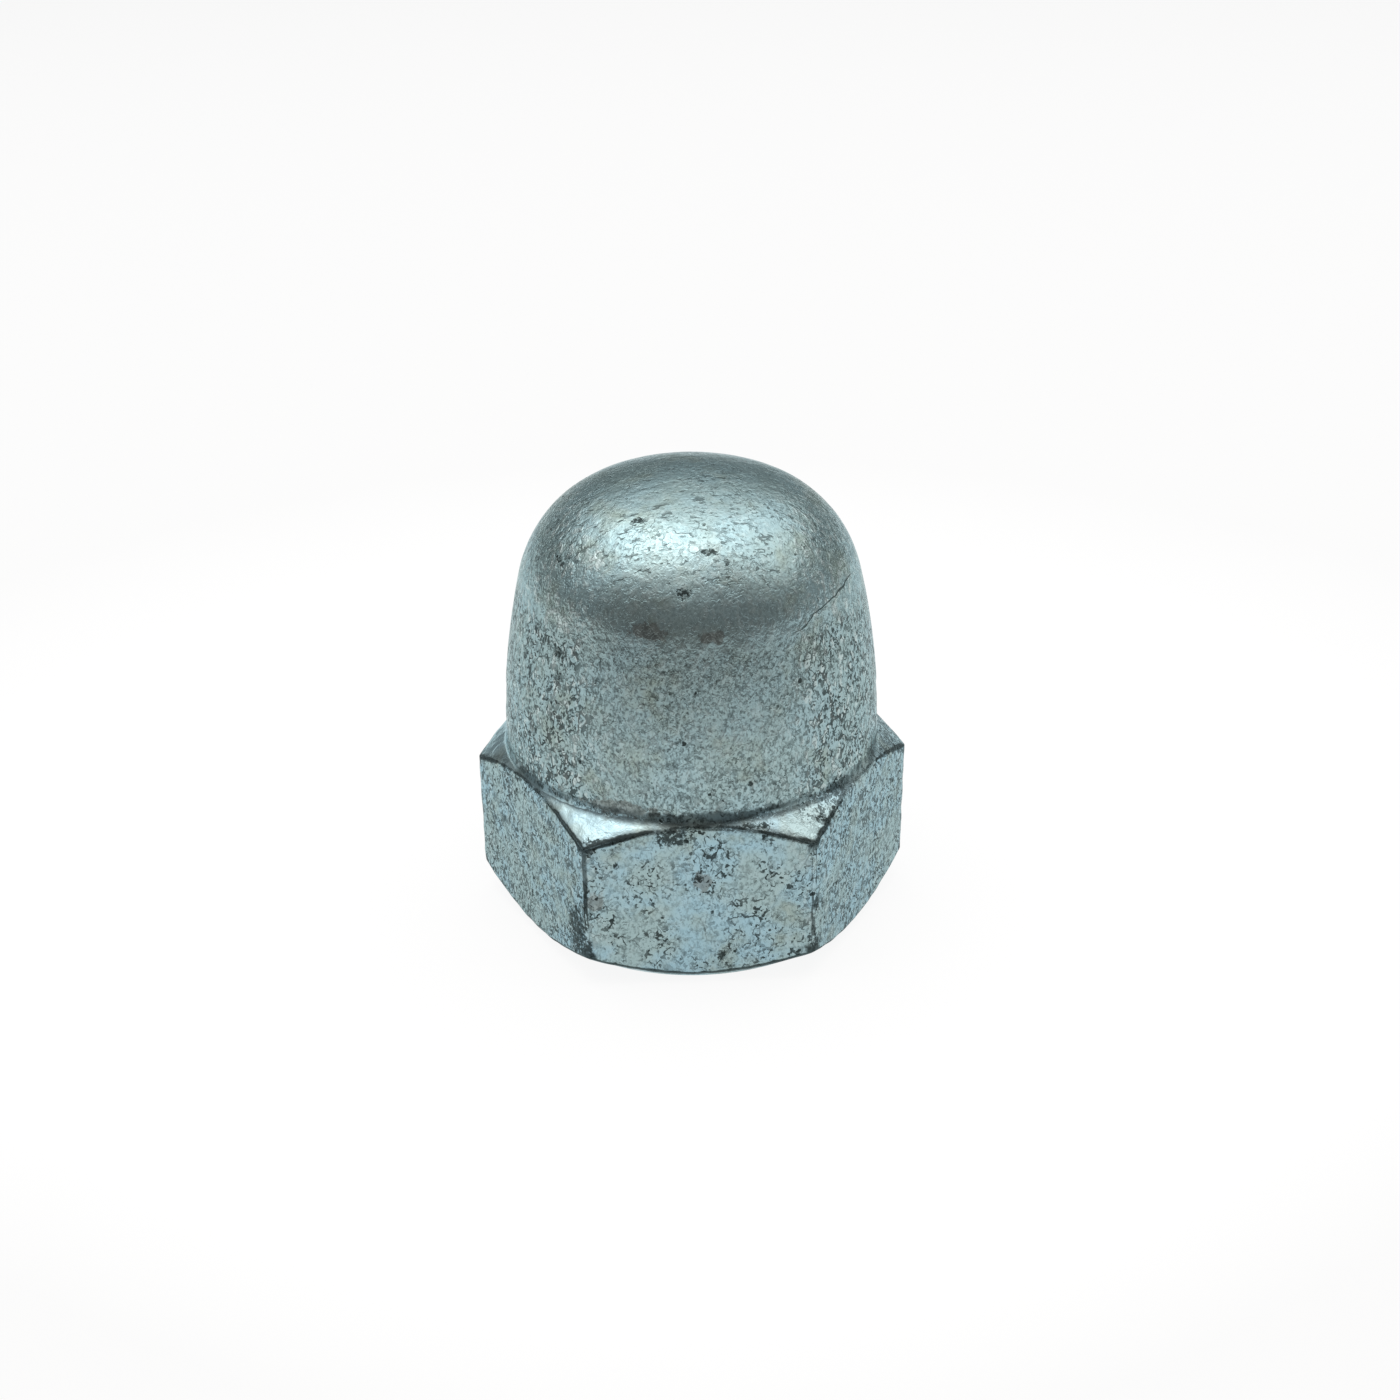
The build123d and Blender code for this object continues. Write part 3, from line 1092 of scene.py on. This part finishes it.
class CAPNUT_OT_studio(bpy.types.Operator):
    """Makes the floor, the light tent, the world and the camera"""

    bl_idname = "capnut.studio"
    bl_label = "Studio"
    bl_options = {"REGISTER", "UNDO"}

    def execute(self, context):
        studio = context.scene.cap_nut_studio
        board = bmesh.new()
        bmesh.ops.create_grid(board, x_segments=1, y_segments=1, size=studio.floor_half)
        bmesh.ops.translate(board, verts=board.verts, vec=(0, 0, -FLOOR_DROP))
        floor = as_piece(board, "floor", floor_material(studio))
        cloth = bmesh.new()
        bmesh.ops.create_uvsphere(cloth, u_segments=64, v_segments=32, radius=studio.tent_radius)
        bmesh.ops.bisect_plane(
            cloth,
            geom=cloth.verts[:] + cloth.edges[:] + cloth.faces[:],
            plane_co=(0, 0, 0),
            plane_no=(0, 0, 1),
            clear_inner=True,
        )
        bmesh.ops.reverse_faces(cloth, faces=cloth.faces)
        tent = as_piece(cloth, "light_tent", tent_material(studio))
        tent.visible_camera = False

        world = bpy.data.worlds.new("white_room")
        context.scene.world = world
        world.use_nodes = True
        tree = world.node_tree
        tree.nodes.clear()
        strength = add_node(
            tree,
            "ShaderNodeMath",
            {0: bare_rays(tree), 1: 1 - ROOM_LIGHT, 2: ROOM_LIGHT},
            operation="MULTIPLY_ADD",
        )
        sky = add_node(tree, "ShaderNodeBackground", {"Color": (1, 1, 1, 1), "Strength": strength})
        add_node(tree, "ShaderNodeOutputWorld", {"Surface": sky})

        lens = bpy.data.cameras.new("camera")
        lens.sensor_width = studio.sensor
        lens.lens = studio.lens
        lens.clip_start = CLOSEST_SEEN
        lens.clip_end = FARTHEST_SEEN
        camera = bpy.data.objects.new("camera", lens)
        camera.matrix_world = (
            Matrix.Translation(studio.camera_place)
            @ Matrix.Rotation(-studio.camera_turn, 4, "Z")
            @ Matrix.Rotation(math.pi / 2 - studio.camera_dip, 4, "X")
            @ Matrix.Rotation(studio.camera_roll, 4, "Z")
        )
        context.scene.collection.objects.link(camera)
        context.scene.camera = camera
        context.scene.view_settings.view_transform = "Standard"
        return {"FINISHED"}


class CAPNUT_PT_panel(bpy.types.Panel):
    """Lists the nut's sizes, its finish and the studio"""

    bl_idname = "CAPNUT_PT_panel"
    bl_label = "Cap Nut"
    bl_space_type = "VIEW_3D"
    bl_region_type = "UI"
    bl_category = "Cap Nut"

    def draw(self, context):
        for group, operator in PARTS:
            box = self.layout.box()
            values = getattr(context.scene, group)
            for name in values.__annotations__:
                box.prop(values, name)
            if operator:
                box.operator(operator)


GROUPS = {
    "cap_nut": CapNutSizes,
    "cap_nut_hole": TappedHoleSizes,
    "cap_nut_finish": ZincFinish,
    "cap_nut_studio": StudioSettings,
}
PARTS = (
    ("cap_nut", None),
    ("cap_nut_hole", None),
    ("cap_nut_finish", "capnut.nut"),
    ("cap_nut_studio", "capnut.studio"),
)
CLASSES = (*GROUPS.values(), CAPNUT_OT_nut, CAPNUT_OT_studio, CAPNUT_PT_panel)


def register():
    for cls in CLASSES:
        bpy.utils.register_class(cls)
    for name, group in GROUPS.items():
        setattr(bpy.types.Scene, name, PointerProperty(type=group))


def unregister():
    for name in GROUPS:
        delattr(bpy.types.Scene, name)
    for cls in reversed(CLASSES):
        bpy.utils.unregister_class(cls)


def main():
    register()
    bpy.ops.capnut.nut()
    bpy.ops.capnut.studio()


if __name__ == "__main__":
    main()
